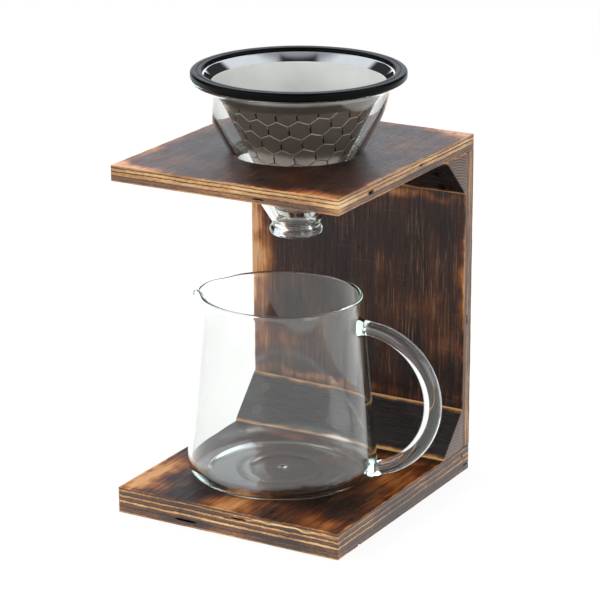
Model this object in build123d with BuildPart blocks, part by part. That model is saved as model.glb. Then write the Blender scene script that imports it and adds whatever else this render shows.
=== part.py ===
"""Pour-over coffee dripper on a charred plywood stand, modelled in millimetres.

A C-shaped stand (base, back and top boards with triangular corner blocks) holds a conical
glass dripper in a round hole. A stainless filter hangs in the dripper from a silicone ring,
and a glass server with a looped handle stands on the base.

Frame: +Z is up, the stand opens towards -Y, and the origin is the centre of the base's underside.
"""
from build123d import *
import os
from math import cos, radians, sin, sqrt, tan

# Stand
STAND_WIDTH = 140.0
STAND_DEPTH = 156.0
STAND_HEIGHT = 200.0
BASE_THICK = 15.0
BOARD_THICK = 9.0
BLOCK_LEG = 25.0
EDGE_EASE = 0.4

# Wood screws through the corner blocks, and brads through the top board
SCREW_X = 58.0
LOWER_SCREWS_ALONG = (10.0, 25.3)
UPPER_SCREWS_ALONG = (15.0, 29.0)
SCREW_LENGTH = 18.0
SCREW_R = 1.5
SCREW_HEAD_R = 3.0
SCREW_HEAD_H = 1.9
SCREW_POINT_H = 3.0
CROSS_SLOT = (3.6, 0.7, 1.2)
BRAD_X = 60.0
BRAD_LENGTH = 16.0
BRAD_R = 0.8
BRAD_HEAD_R = 1.5
BRAD_HEAD_H = 0.8
HOLE_GAP = 0.05

# Glass dripper: a slightly bellied cone, SEAT_R outside where it meets the top of the top board
SEAT_R = 37.0
SEAT_DEPTH = 1.0
SEAT_ANGLE = 28.4
DRIPPER_RIM_R = 57.0
DRIPPER_RIM_Z = 240.3
DRIPPER_WALL = 2.6
NECK_R = 12.4
NECK_Z = 158.0
OUTLET_BEAD_R = 2.9
OUTLET_BEAD_MID_R = 11.8

# Stainless filter: a collar and two nested cones hung from a silicone ring, resting off centre
FILTER_X = 1.9
RING_OUTER_R = 59.0
RING_INNER_R = 52.3
RING_HEIGHT = 4.7
RING_ROUND = 1.4
RING_GROOVE_R = 55.4
RING_GROOVE_DEPTH = 0.35
FLANGE_R = 56.0
FLANGE_BELOW_TOP = 2.1
COLLAR_SHEET = 0.5
COLLAR_TOP_R = 51.6
COLLAR_BOTTOM_Z = 232.5
COLLAR_SKIRT = 1.5
FILTER_ANGLE = 26.1
FILTER_TOP_R = 44.0
FILTER_TIP_Z = 165.5
OUTER_SHEET = 0.4
MESH_SHEET = 0.25
MESH_TOP_Z = 238.2
CAP_SHEET = 0.5
CAP_HEIGHT = 3.0

# Glass server: a tapered jug, with its handle on one side and its spout opposite
SERVER_X = -3.2
SERVER_Y = -11.1
SERVER_HEIGHT = 104.7
SERVER_FOOT_R = 54.15
SERVER_MOUTH_R = 45.1
SERVER_WALL = 2.2
SERVER_FLOOR = 2.8
SERVER_CORNER_R = 9.0
PUNT_R = 41.0
PUNT_RISE = 1.0
NUB_R = 1.8
NUB_H = 1.2
SPOUT_REACH = 53.6
SPOUT_R = 9.0
SPOUT_DEPTH = 24.0
SPOUT_SAG_START_R = 40.0
SPOUT_SAG = 5.0
HANDLE_ANGLE = 8.4
HANDLE_TOP = (45.8, 90.5)
HANDLE_WIDEST = (89.0, 49.45)
HANDLE_BOTTOM = (53.3, 8.8)
HANDLE_ROD_R = (3.9, 4.7, 4.9, 4.7, 3.9)
PAD_R = 6.2
PAD_H = 6.6
PAD_SINK = 3.6

# Gap between parts that lift apart
REST_GAP = 0.05

BACK_FACE_Y = STAND_DEPTH / 2 - BOARD_THICK
TOP_UNDERSIDE_Z = STAND_HEIGHT - BOARD_THICK
FLOOR_UP = (Align.CENTER, Align.CENTER, Align.MIN)
TOP_DOWN = (Align.CENTER, Align.CENTER, Align.MAX)

os.makedirs("parts", exist_ok=True)


def write(part, label):
    """Labels a finished piece and writes it as one STEP file."""
    part.label = label
    export_step(part, f"parts/{label}.step")


def closed_section(points, plane=Plane.XZ):
    """A flat face bounded by straight lines through the points."""
    with BuildSketch(plane) as section:
        with BuildLine():
            Polyline(*points, close=True)
        make_face()
    return section.sketch


# --- Stand ---------------------------------------------------------------------------------------


def screw_seats(board_z, away, along_slope):
    """Screw head positions on a corner block's sloping face, with local +Z out of the wood.

    The block lies against a board whose face is at board_z; away is +1 above it and -1 below it.
    """
    seats = []
    for side in (-1, 1):
        for along in along_slope:
            rise = along / sqrt(2)
            seat = Plane(
                origin=(side * SCREW_X, BACK_FACE_Y - BLOCK_LEG + rise, board_z + away * rise),
                x_dir=(1, 0, 0),
                z_dir=(0, -1, away),
            )
            seats.append(seat.location)
    return seats


lower_seats = screw_seats(BASE_THICK, 1, LOWER_SCREWS_ALONG)
upper_seats = screw_seats(TOP_UNDERSIDE_Z, -1, UPPER_SCREWS_ALONG)
brad_seats = [(side * BRAD_X, BACK_FACE_Y + BOARD_THICK / 2, STAND_HEIGHT) for side in (-1, 1)]


def bore_screw_holes(seats):
    """Countersunk holes for the screws, down to their points."""
    with Locations(*seats):
        Cylinder(SCREW_R + HOLE_GAP, SCREW_LENGTH + HOLE_GAP, align=TOP_DOWN, mode=Mode.SUBTRACT)
        Cone(
            SCREW_R + HOLE_GAP,
            SCREW_HEAD_R + 2 * HOLE_GAP,
            SCREW_HEAD_H + HOLE_GAP,
            align=TOP_DOWN,
            mode=Mode.SUBTRACT,
        )


def bore_brad_holes():
    """Straight holes for the brads, with a shallow seat for each head."""
    with Locations(*brad_seats):
        Cylinder(BRAD_R + HOLE_GAP, BRAD_LENGTH + HOLE_GAP, align=TOP_DOWN, mode=Mode.SUBTRACT)
        Cylinder(BRAD_HEAD_R + HOLE_GAP, BRAD_HEAD_H + HOLE_GAP, align=TOP_DOWN, mode=Mode.SUBTRACT)


def block_section(board_z, away):
    """Triangular end of a corner block against the back board and a board at board_z."""
    corners = [
        (BACK_FACE_Y - BLOCK_LEG, board_z),
        (BACK_FACE_Y, board_z),
        (BACK_FACE_Y, board_z + away * BLOCK_LEG),
    ]
    return closed_section(corners, Plane.YZ)


with BuildPart() as base_board:
    Box(STAND_WIDTH, STAND_DEPTH, BASE_THICK, align=FLOOR_UP)
    fillet(base_board.edges(), EDGE_EASE)
    bore_screw_holes(lower_seats)
write(base_board.part, "base_board")

with BuildPart() as back_board:
    with Locations((0, BACK_FACE_Y + BOARD_THICK / 2, BASE_THICK)):
        Box(STAND_WIDTH, BOARD_THICK, TOP_UNDERSIDE_Z - BASE_THICK, align=FLOOR_UP)
    fillet(back_board.edges(), EDGE_EASE)
    bore_screw_holes(lower_seats + upper_seats)
    bore_brad_holes()
write(back_board.part, "back_board")

with BuildPart() as top_board:
    with Locations((0, 0, TOP_UNDERSIDE_Z)):
        Box(STAND_WIDTH, STAND_DEPTH, BOARD_THICK, align=FLOOR_UP)
    fillet(top_board.edges(), EDGE_EASE)
    # Round hole, its upper edge bevelled to the slope of the glass
    with Locations((0, 0, STAND_HEIGHT)):
        bevel_r = SEAT_R + REST_GAP - SEAT_DEPTH * tan(radians(SEAT_ANGLE))
        Cylinder(bevel_r, BOARD_THICK, align=TOP_DOWN, mode=Mode.SUBTRACT)
        Cone(bevel_r, SEAT_R + REST_GAP, SEAT_DEPTH, align=TOP_DOWN, mode=Mode.SUBTRACT)
    bore_screw_holes(upper_seats)
    bore_brad_holes()
write(top_board.part, "top_board")

with BuildPart() as lower_corner_block:
    extrude(block_section(BASE_THICK, 1), amount=STAND_WIDTH / 2, both=True)
    bore_screw_holes(lower_seats)
write(lower_corner_block.part, "lower_corner_block")

with BuildPart() as upper_corner_block:
    extrude(block_section(TOP_UNDERSIDE_Z, -1), amount=STAND_WIDTH / 2, both=True)
    bore_screw_holes(upper_seats)
write(upper_corner_block.part, "upper_corner_block")


def flat_head_screws(seats):
    """Countersunk cross-head wood screws, their heads flush with the seats."""
    shank = SCREW_LENGTH - SCREW_POINT_H
    with Locations(*seats):
        Cylinder(SCREW_R, shank, align=TOP_DOWN)
        Cone(SCREW_R, SCREW_HEAD_R, SCREW_HEAD_H, align=TOP_DOWN)
        with Locations((0, 0, -shank)):
            Cone(0.2, SCREW_R, SCREW_POINT_H, align=TOP_DOWN)
        for turn in (0, 90):
            Box(*CROSS_SLOT, rotation=(0, 0, turn), align=TOP_DOWN, mode=Mode.SUBTRACT)


with BuildPart() as lower_block_screws:
    flat_head_screws(lower_seats)
write(lower_block_screws.part, "lower_block_screws")

with BuildPart() as upper_block_screws:
    flat_head_screws(upper_seats)
write(upper_block_screws.part, "upper_block_screws")

with BuildPart() as top_board_brads:
    with Locations(*brad_seats):
        Cylinder(BRAD_R, BRAD_LENGTH, align=TOP_DOWN)
        Cylinder(BRAD_HEAD_R, BRAD_HEAD_H, align=TOP_DOWN)
write(top_board_brads.part, "top_board_brads")


# --- Glass dripper -------------------------------------------------------------------------------


with BuildPart() as glass_dripper:
    across = DRIPPER_WALL / cos(radians(SEAT_ANGLE))
    edge_z = DRIPPER_RIM_Z - DRIPPER_WALL / 2
    bead_z = NECK_Z - OUTLET_BEAD_R
    with BuildSketch(Plane.XZ):
        with BuildLine():
            ThreePointArc((NECK_R, NECK_Z), (SEAT_R, STAND_HEIGHT), (DRIPPER_RIM_R, edge_z))
            Line((DRIPPER_RIM_R, edge_z), (DRIPPER_RIM_R - across, edge_z))
            ThreePointArc(
                (DRIPPER_RIM_R - across, edge_z),
                (SEAT_R - across, STAND_HEIGHT),
                (NECK_R - across, NECK_Z),
            )
            Polyline(
                (NECK_R - across, NECK_Z),
                (NECK_R - across, bead_z),
                (NECK_R, bead_z),
                (NECK_R, NECK_Z),
            )
        make_face()
        with Locations((DRIPPER_RIM_R - across / 2, edge_z)):
            Circle(DRIPPER_WALL / 2)
        with Locations((OUTLET_BEAD_MID_R, bead_z)):
            Circle(OUTLET_BEAD_R)
    revolve(axis=Axis.Z)
write(glass_dripper.part, "glass_dripper")


# --- Stainless filter ----------------------------------------------------------------------------

ring_bottom_z = DRIPPER_RIM_Z + REST_GAP
ring_top_z = ring_bottom_z + RING_HEIGHT
flange_z = ring_top_z - FLANGE_BELOW_TOP
filter_side = Plane(origin=(FILTER_X, 0, 0), x_dir=(1, 0, 0), z_dir=(0, -1, 0))
filter_axis = Axis((FILTER_X, 0, 0), (0, 0, 1))
SHEET_ACROSS = 1 / cos(radians(FILTER_ANGLE))


def filter_r(z, inset=0.0):
    """Radius at height z of a cone set in square to the filter's outside face."""
    return FILTER_TOP_R + (z - COLLAR_BOTTOM_Z) * tan(radians(FILTER_ANGLE)) - inset * SHEET_ACROSS


def collar_r(z):
    """Radius of the collar's inside face at height z, flaring from the cones up to the ring."""
    flare = (COLLAR_TOP_R - FILTER_TOP_R) / (flange_z - COLLAR_BOTTOM_Z)
    return FILTER_TOP_R + (z - COLLAR_BOTTOM_Z) * flare


with BuildPart() as silicone_ring:
    with BuildSketch(filter_side):
        with Locations(((RING_OUTER_R + RING_INNER_R) / 2, ring_bottom_z + RING_HEIGHT / 2)):
            RectangleRounded(RING_OUTER_R - RING_INNER_R, RING_HEIGHT, RING_ROUND)
        # Slot that grips the collar's flange
        with Locations((RING_INNER_R - 1, flange_z)):
            Rectangle(
                FLANGE_R - RING_INNER_R + 1,
                COLLAR_SHEET,
                align=(Align.MIN, Align.MAX),
                mode=Mode.SUBTRACT,
            )
        # Fine moulded groove around the top face
        with Locations((RING_GROOVE_R, ring_top_z)):
            Circle(RING_GROOVE_DEPTH, mode=Mode.SUBTRACT)
    revolve(axis=filter_axis)
write(silicone_ring.part, "silicone_ring")

with BuildPart() as filter_collar:
    skirt_z = COLLAR_BOTTOM_Z - COLLAR_SKIRT
    collar_profile = [
        (FLANGE_R, flange_z),
        (COLLAR_TOP_R, flange_z),
        (filter_r(COLLAR_BOTTOM_Z), COLLAR_BOTTOM_Z),
        (filter_r(skirt_z), skirt_z),
        (filter_r(skirt_z, -COLLAR_SHEET), skirt_z),
        (filter_r(COLLAR_BOTTOM_Z, -COLLAR_SHEET), COLLAR_BOTTOM_Z),
        (COLLAR_TOP_R + COLLAR_SHEET / 2, flange_z - COLLAR_SHEET),
        (FLANGE_R, flange_z - COLLAR_SHEET),
    ]
    revolve(closed_section(collar_profile, filter_side), axis=filter_axis)
write(filter_collar.part, "filter_collar")

with BuildPart() as filter_outer_cone:
    outer_profile = [
        (filter_r(FILTER_TIP_Z), FILTER_TIP_Z),
        (filter_r(COLLAR_BOTTOM_Z), COLLAR_BOTTOM_Z),
        (filter_r(COLLAR_BOTTOM_Z, OUTER_SHEET), COLLAR_BOTTOM_Z),
        (filter_r(FILTER_TIP_Z, OUTER_SHEET), FILTER_TIP_Z),
    ]
    revolve(closed_section(outer_profile, filter_side), axis=filter_axis)
write(filter_outer_cone.part, "filter_outer_cone")

with BuildPart() as filter_mesh_cone:
    # Lines the outer cone, then steps out to line the lower half of the collar
    step_z = COLLAR_BOTTOM_Z + 2 * OUTER_SHEET
    mesh_outside = [
        (filter_r(FILTER_TIP_Z, OUTER_SHEET), FILTER_TIP_Z),
        (filter_r(COLLAR_BOTTOM_Z, OUTER_SHEET), COLLAR_BOTTOM_Z),
        (collar_r(step_z), step_z),
        (collar_r(MESH_TOP_Z), MESH_TOP_Z),
    ]
    mesh_inside = [(r - MESH_SHEET * SHEET_ACROSS, z) for r, z in reversed(mesh_outside)]
    revolve(closed_section(mesh_outside + mesh_inside, filter_side), axis=filter_axis)
write(filter_mesh_cone.part, "filter_mesh_cone")

with BuildPart() as filter_tip_cap:
    cap_top_z = FILTER_TIP_Z + CAP_HEIGHT
    cap_floor_z = FILTER_TIP_Z - CAP_SHEET
    cap_profile = [
        (0, cap_floor_z),
        (filter_r(FILTER_TIP_Z, -CAP_SHEET), cap_floor_z),
        (filter_r(cap_top_z, -CAP_SHEET), cap_top_z),
        (filter_r(cap_top_z), cap_top_z),
        (filter_r(FILTER_TIP_Z), FILTER_TIP_Z),
        (0, FILTER_TIP_Z),
    ]
    revolve(closed_section(cap_profile, filter_side), axis=filter_axis)
write(filter_tip_cap.part, "filter_tip_cap")


# --- Glass server --------------------------------------------------------------------------------

foot_z = BASE_THICK + REST_GAP
outward = (cos(radians(HANDLE_ANGLE)), sin(radians(HANDLE_ANGLE)), 0)
server_foot = Plane(origin=(SERVER_X, SERVER_Y, foot_z), x_dir=outward, z_dir=(0, 0, 1))
server_side = Plane(
    origin=server_foot.origin,
    x_dir=outward,
    z_dir=(sin(radians(HANDLE_ANGLE)), -cos(radians(HANDLE_ANGLE)), 0),
)
server_axis = Axis(server_foot.origin, (0, 0, 1))


def server_section(wall, floor):
    """Half section of the jug's envelope, set in by a wall and a floor and rounded at the foot."""
    with BuildSketch(server_side) as section:
        with BuildLine():
            foot_r = SERVER_FOOT_R - wall
            mouth_r = SERVER_MOUTH_R - wall
            Polyline(
                (0, floor),
                (foot_r, floor),
                (mouth_r, SERVER_HEIGHT),
                (0, SERVER_HEIGHT),
                close=True,
            )
        make_face()
        corner = section.vertices().sort_by_distance((foot_r, floor, 0))[0]
        fillet(corner, SERVER_CORNER_R - wall)
    return section.sketch


def spout_circle(height, radius, reach):
    """Circle level with the rim's plane whose far side is at reach from the jug's axis."""
    with BuildSketch(server_foot.offset(height)) as circle:
        with Locations((radius - reach, 0)):
            Circle(radius)
    return circle.sketch


def spout_sections(wall):
    """The spout's two loft sections: almost a point low on the wall, and a round lip at the rim."""
    low = SERVER_HEIGHT - SPOUT_DEPTH
    low_r = SERVER_MOUTH_R + (SERVER_FOOT_R - SERVER_MOUTH_R) * SPOUT_DEPTH / SERVER_HEIGHT
    return [
        spout_circle(low, 3.0 - wall / 2, low_r - 0.6 - wall),
        spout_circle(SERVER_HEIGHT, SPOUT_R - wall, SPOUT_REACH - wall),
    ]


with BuildPart() as server_jug:
    revolve(server_section(0, 0), axis=server_axis)
    loft(spout_sections(0))
    revolve(server_section(SERVER_WALL, SERVER_FLOOR), axis=server_axis, mode=Mode.SUBTRACT)
    loft(spout_sections(SERVER_WALL), mode=Mode.SUBTRACT)
    # The lip sags towards the spout's tip
    far = SPOUT_REACH + 2
    drop = SPOUT_SAG * (far - SPOUT_SAG_START_R) / (SPOUT_REACH - SPOUT_SAG_START_R)
    sag_profile = [
        (-SPOUT_SAG_START_R, SERVER_HEIGHT),
        (-far, SERVER_HEIGHT - drop),
        (-far, SERVER_HEIGHT + 1),
        (-SPOUT_SAG_START_R, SERVER_HEIGHT + 1),
    ]
    sag_section = closed_section(sag_profile, server_side)
    extrude(sag_section, amount=SPOUT_REACH / 2, both=True, mode=Mode.SUBTRACT)
    # Shallow hollow under the foot, and a pressed nub in the middle of the floor
    with Locations(server_foot.location):
        Cylinder(PUNT_R, PUNT_RISE, align=FLOOR_UP, mode=Mode.SUBTRACT)
        with Locations((0, 0, SERVER_FLOOR)):
            Cone(NUB_R, NUB_R / 2, NUB_H, align=FLOOR_UP)
write(server_jug.part, "server_jug")

with BuildPart() as server_handle:
    with BuildLine(server_side) as handle_path:
        ThreePointArc(HANDLE_TOP, HANDLE_WIDEST, HANDLE_BOTTOM)
    for step, rod_r in enumerate(HANDLE_ROD_R):
        with BuildSketch(handle_path.line ^ (step / (len(HANDLE_ROD_R) - 1))):
            Circle(rod_r)
    sweep(path=handle_path.line, multisection=True)
    # Fused pads where the rod meets the jug
    for end in (HANDLE_TOP, HANDLE_BOTTOM):
        root = server_side.from_local_coords((end[0] - PAD_SINK, end[1], 0))
        with Locations(Plane(origin=root, x_dir=(0, 0, 1), z_dir=outward).location):
            Cone(PAD_R, HANDLE_ROD_R[0], PAD_H, align=FLOOR_UP)
    revolve(server_section(0, 0), axis=server_axis, mode=Mode.SUBTRACT)
write(server_handle.part, "server_handle")
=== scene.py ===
"""Looks of the pour-over coffee dripper: scorched plywood stand, glass dripper and server, steel filter.

Every shape is worked out in millimetres in the row frame and scaled to metres as its mesh is made.
"""
from math import acos, atan, atan2, ceil, cos, degrees, exp, hypot, pi, radians, sin, sqrt, tan

import bmesh
import bpy
import numpy as np
from mathutils import Matrix, Vector, noise


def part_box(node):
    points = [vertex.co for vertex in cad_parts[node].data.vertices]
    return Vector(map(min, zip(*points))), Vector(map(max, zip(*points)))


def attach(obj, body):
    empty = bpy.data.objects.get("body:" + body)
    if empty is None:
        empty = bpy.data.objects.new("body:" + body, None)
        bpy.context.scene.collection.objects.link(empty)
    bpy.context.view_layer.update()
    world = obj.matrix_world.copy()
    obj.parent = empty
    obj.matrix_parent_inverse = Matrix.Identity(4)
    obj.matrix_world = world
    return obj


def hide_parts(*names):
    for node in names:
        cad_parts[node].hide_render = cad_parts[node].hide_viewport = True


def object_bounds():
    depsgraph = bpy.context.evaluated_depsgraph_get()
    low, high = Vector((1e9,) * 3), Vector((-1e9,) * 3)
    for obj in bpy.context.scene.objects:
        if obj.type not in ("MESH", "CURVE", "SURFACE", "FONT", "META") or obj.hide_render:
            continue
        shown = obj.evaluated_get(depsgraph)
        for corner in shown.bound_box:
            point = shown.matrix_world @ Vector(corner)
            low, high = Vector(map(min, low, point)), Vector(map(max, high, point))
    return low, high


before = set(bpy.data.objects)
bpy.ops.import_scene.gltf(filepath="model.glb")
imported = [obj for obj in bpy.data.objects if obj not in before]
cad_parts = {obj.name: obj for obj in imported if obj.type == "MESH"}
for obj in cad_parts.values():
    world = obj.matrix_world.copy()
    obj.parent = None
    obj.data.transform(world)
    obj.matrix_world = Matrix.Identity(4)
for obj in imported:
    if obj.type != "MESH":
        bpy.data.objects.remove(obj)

MM = 0.001
bpy.context.view_layer.update()
cad_low, cad_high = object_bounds()


def node_box(node):
    """Lowest and highest corner of a CAD node, in millimetres."""
    low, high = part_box(node)
    return np.array(low) / MM, np.array(high) / MM


# --- Node trees ----------------------------------------------------------------------------------


def srgb(red, green, blue):
    """Linear RGBA from screen values of 0 to 255."""
    shares = [value / 255 for value in (red, green, blue)]
    linear = [s / 12.92 if s <= 0.04045 else ((s + 0.055) / 1.055) ** 2.4 for s in shares]
    return (*linear, 1.0)


class Nodes:
    """Builds a node tree; each call returns the socket that the next one takes."""

    def __init__(self, tree):
        self.tree = tree
        tree.nodes.clear()

    def add(self, kind, inputs=None, **settings):
        node = self.tree.nodes.new(kind)
        for key, value in settings.items():
            setattr(node, key, value)
        for key, value in (inputs or {}).items():
            if isinstance(value, bpy.types.NodeSocket):
                self.tree.links.new(value, node.inputs[key])
            else:
                node.inputs[key].default_value = value
        return node

    def math(self, operation, a, b=0.0, clamp=False):
        node = self.add("ShaderNodeMath", {0: a, 1: b}, operation=operation, use_clamp=clamp)
        return node.outputs[0]

    def vector(self, operation, a, b=(0, 0, 0)):
        return self.add("ShaderNodeVectorMath", {0: a, 1: b}, operation=operation).outputs[0]

    def length(self, a):
        return self.add("ShaderNodeVectorMath", {0: a}, operation="LENGTH").outputs["Value"]

    def span(self, value, low, high, to_low=0.0, to_high=1.0):
        """A smooth step as value goes from low to high."""
        inputs = {"Value": value, "From Min": low, "From Max": high}
        inputs |= {"To Min": to_low, "To Max": to_high}
        node = self.add("ShaderNodeMapRange", inputs, interpolation_type="SMOOTHSTEP")
        return node.outputs[0]

    def ramp(self, value, stops, interpolation="LINEAR"):
        """Colour at value; stops are (place, colour) with screen colours."""
        node = self.add("ShaderNodeValToRGB", {"Fac": value})
        node.color_ramp.interpolation = interpolation
        elements = node.color_ramp.elements
        while len(elements) < len(stops):
            elements.new(1.0)
        for element, (place, colour) in zip(elements, stops):
            element.position = place
            element.color = srgb(*colour)
        return node.outputs["Color"]

    def mix(self, share, a, b, blend="MIX"):
        inputs = {0: share, 6: a, 7: b}
        node = self.add("ShaderNodeMix", inputs, data_type="RGBA", blend_type=blend)
        return node.outputs[2]


class Finish(Nodes):
    """A material's node tree, with the piece's own place in millimetres as mm."""

    def __init__(self, name):
        self.material = bpy.data.materials.new(name)
        self.material.use_nodes = True
        super().__init__(self.material.node_tree)
        place = self.add("ShaderNodeTexCoord").outputs["Object"]
        self.mm = self.add("ShaderNodeVectorMath", {0: place, "Scale": 1 / MM}, operation="SCALE").outputs[0]

    def noise(self, scale, stretch=(1, 1, 1), detail=4.0, rough=0.55, shift=0.0, at=None):
        """Noise around 0.5, with scale features per millimetre, squeezed by stretch along each axis."""
        inputs = {"Vector": at or self.mm, "Scale": stretch, "Location": (shift, shift, shift)}
        place = self.add("ShaderNodeMapping", inputs).outputs[0]
        inputs = {"Vector": place, "Scale": scale, "Detail": detail, "Roughness": rough}
        return self.add("ShaderNodeTexNoise", inputs).outputs["Fac"]

    def around(self, value, gain, middle=0.5):
        """value's swing about its middle, times gain."""
        return self.math("MULTIPLY", self.math("SUBTRACT", value, middle), gain)

    def bump(self, height, distance, normal=None):
        inputs = {"Height": height, "Distance": distance * MM, "Strength": 1.0}
        if normal is not None:
            inputs["Normal"] = normal
        return self.add("ShaderNodeBump", inputs).outputs[0]

    def principled(self, **inputs):
        names = {key.replace("_", " "): value for key, value in inputs.items()}
        return self.add("ShaderNodeBsdfPrincipled", names).outputs[0]

    def done(self, shader, volume=None):
        ends = {"Surface": shader} | ({"Volume": volume} if volume else {})
        self.add("ShaderNodeOutputMaterial", ends)
        return self.material


# --- Meshes --------------------------------------------------------------------------------------


def make_piece(name, body, points, faces, materials, nodes=(), face_slots=None, sharp=35):
    """A piece of the visual model from points in millimetres, riding on a body."""
    mesh = bpy.data.meshes.new(name)
    mesh.from_pydata((np.array(points, float) * MM).tolist(), [], faces)
    for material in materials:
        mesh.materials.append(material)
    if face_slots is not None:
        mesh.polygons.foreach_set("material_index", face_slots)
    mesh.validate()
    piece = bpy.data.objects.new(name, mesh)
    bpy.context.scene.collection.objects.link(piece)
    shade(piece, sharp)
    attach(piece, body)
    if nodes:
        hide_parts(*nodes)
    return piece


def shade(piece, sharp):
    """Smooth shading, broken where faces meet at more than sharp degrees."""
    piece.data.shade_smooth()
    piece.data.set_sharp_from_angle(angle=radians(sharp))


def apply_modifiers(piece):
    graph = bpy.context.evaluated_depsgraph_get()
    made = bpy.data.meshes.new_from_object(piece.evaluated_get(graph))
    piece.modifiers.clear()
    piece.data = made


def combine(piece, name, points, faces, operation, materials=(), sharp=35):
    """Cuts the solid given by points and faces from the piece, or joins it on."""
    mesh = bpy.data.meshes.new(name)
    mesh.from_pydata((np.array(points, float) * MM).tolist(), [], faces)
    for material in materials:
        mesh.materials.append(material)
    tool = bpy.data.objects.new(name, mesh)
    bpy.context.scene.collection.objects.link(tool)
    modifier = piece.modifiers.new(name, "BOOLEAN")
    modifier.object = tool
    modifier.operation = operation
    modifier.solver = "EXACT"
    modifier.material_mode = "TRANSFER"
    apply_modifiers(piece)
    bpy.data.objects.remove(tool)
    shade(piece, sharp)


def lathe(outline, centre=(0, 0), segments=192, closed=False):
    """Points and faces of an outline of (radius, height) turned about a vertical axis.

    An open outline starts and ends on the axis; a closed one joins its last point to its first.
    The outline runs anticlockwise, with radius to the right and height up, so faces look outwards.
    """
    turn = [2 * pi * step / segments for step in range(segments)]
    points, rings = [], []
    for radius, height in outline:
        if radius < 1e-6:
            rings.append([len(points)] * segments)
            points.append((centre[0], centre[1], height))
        else:
            rings.append(range(len(points), len(points) + segments))
            points += [(centre[0] + radius * cos(a), centre[1] + radius * sin(a), height) for a in turn]
    faces = []
    for low, high in zip(rings, rings[1:] + ([rings[0]] if closed else [])):
        for step in range(segments):
            after = (step + 1) % segments
            face = [low[step], low[after], high[after], high[step]]
            faces.append([v for n, v in enumerate(face) if v not in face[:n]])
    return points, faces


def arc(centre, radius, start, end, count=12):
    """Points along an arc, with angles in degrees from +X."""
    turns = np.radians(np.linspace(start, end, count))
    return [(centre[0] + radius * cos(a), centre[1] + radius * sin(a)) for a in turns]


def arc_through(first, middle, last, count):
    """Points along the arc through three points."""
    (ax, ay), (bx, by), (cx, cy) = first, middle, last
    d = 2 * (ax * (by - cy) + bx * (cy - ay) + cx * (ay - by))
    a2, b2, c2 = ax * ax + ay * ay, bx * bx + by * by, cx * cx + cy * cy
    ux = (a2 * (by - cy) + b2 * (cy - ay) + c2 * (ay - by)) / d
    uy = (a2 * (cx - bx) + b2 * (ax - cx) + c2 * (bx - ax)) / d
    start, through, end = (degrees(atan2(y - uy, x - ux)) for x, y in (first, middle, last))
    while through - start > 180:
        through -= 360
    while through - start < -180:
        through += 360
    while end - through > 180:
        end -= 360
    while end - through < -180:
        end += 360
    return arc((ux, uy), hypot(ax - ux, ay - uy), start, end, count)


def smooth(value):
    """0 below 0, 1 above 1 and a smooth step between."""
    value = min(max(value, 0.0), 1.0)
    return value * value * (3 - 2 * value)


# --- Wood ----------------------------------------------------------------------------------------

CHAR = [
    (0.00, (14, 9, 8)),
    (0.22, (32, 18, 14)),
    (0.40, (61, 35, 24)),
    (0.55, (100, 58, 33)),
    (0.72, (154, 102, 58)),
    (0.88, (200, 150, 96)),
    (1.00, (222, 184, 138)),
]
VARNISH_ROUGH = 0.34


def scorch_and_shade(finish, start, spots, wander=6.0):
    """How light the wood is, from start and soft spots of (centre, reach, amount) in millimetres: scorching, and
    painted shade on the base's right edge.
    """
    shake = finish.add("ShaderNodeTexNoise", {"Vector": finish.mm, "Scale": 0.06, "Detail": 3.0}).outputs["Color"]
    offset = finish.vector("SUBTRACT", shake, (0.5, 0.5, 0.5))
    offset = finish.vector("MULTIPLY", offset, (wander * 4, wander * 4, wander * 2))
    place = finish.vector("ADD", finish.mm, offset)
    total = start
    for centre, reach, amount in spots:
        away = finish.vector("DIVIDE", finish.vector("SUBTRACT", place, centre), reach)
        near = finish.span(finish.length(away), 1.0, 0.0, 0.0, amount)
        total = finish.math("ADD", total, near)
    return total


def along(axis, fine, coarse=1.0):
    """Stretch that draws noise out along an axis: coarse there and fine across it."""
    return tuple(coarse if n == axis else fine for n in range(3))


def edge_wear(finish, box, layers):
    """1 at the outline of a board's large faces, fading to 0 a few millimetres in, unevenly."""
    parts = finish.add("ShaderNodeSeparateXYZ", {0: finish.mm}).outputs
    nearest = 1000.0
    for axis in range(3):
        if axis != layers:
            for inside in (
                finish.math("SUBTRACT", parts[axis], box[0][axis]),
                finish.math("SUBTRACT", box[1][axis], parts[axis]),
            ):
                nearest = finish.math("MINIMUM", nearest, inside)
    shake = finish.around(finish.noise(0.12, detail=5.0, rough=0.65, shift=61.0), 5.0)
    return finish.span(finish.math("ADD", nearest, shake), 1.6, 0.1)


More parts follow.
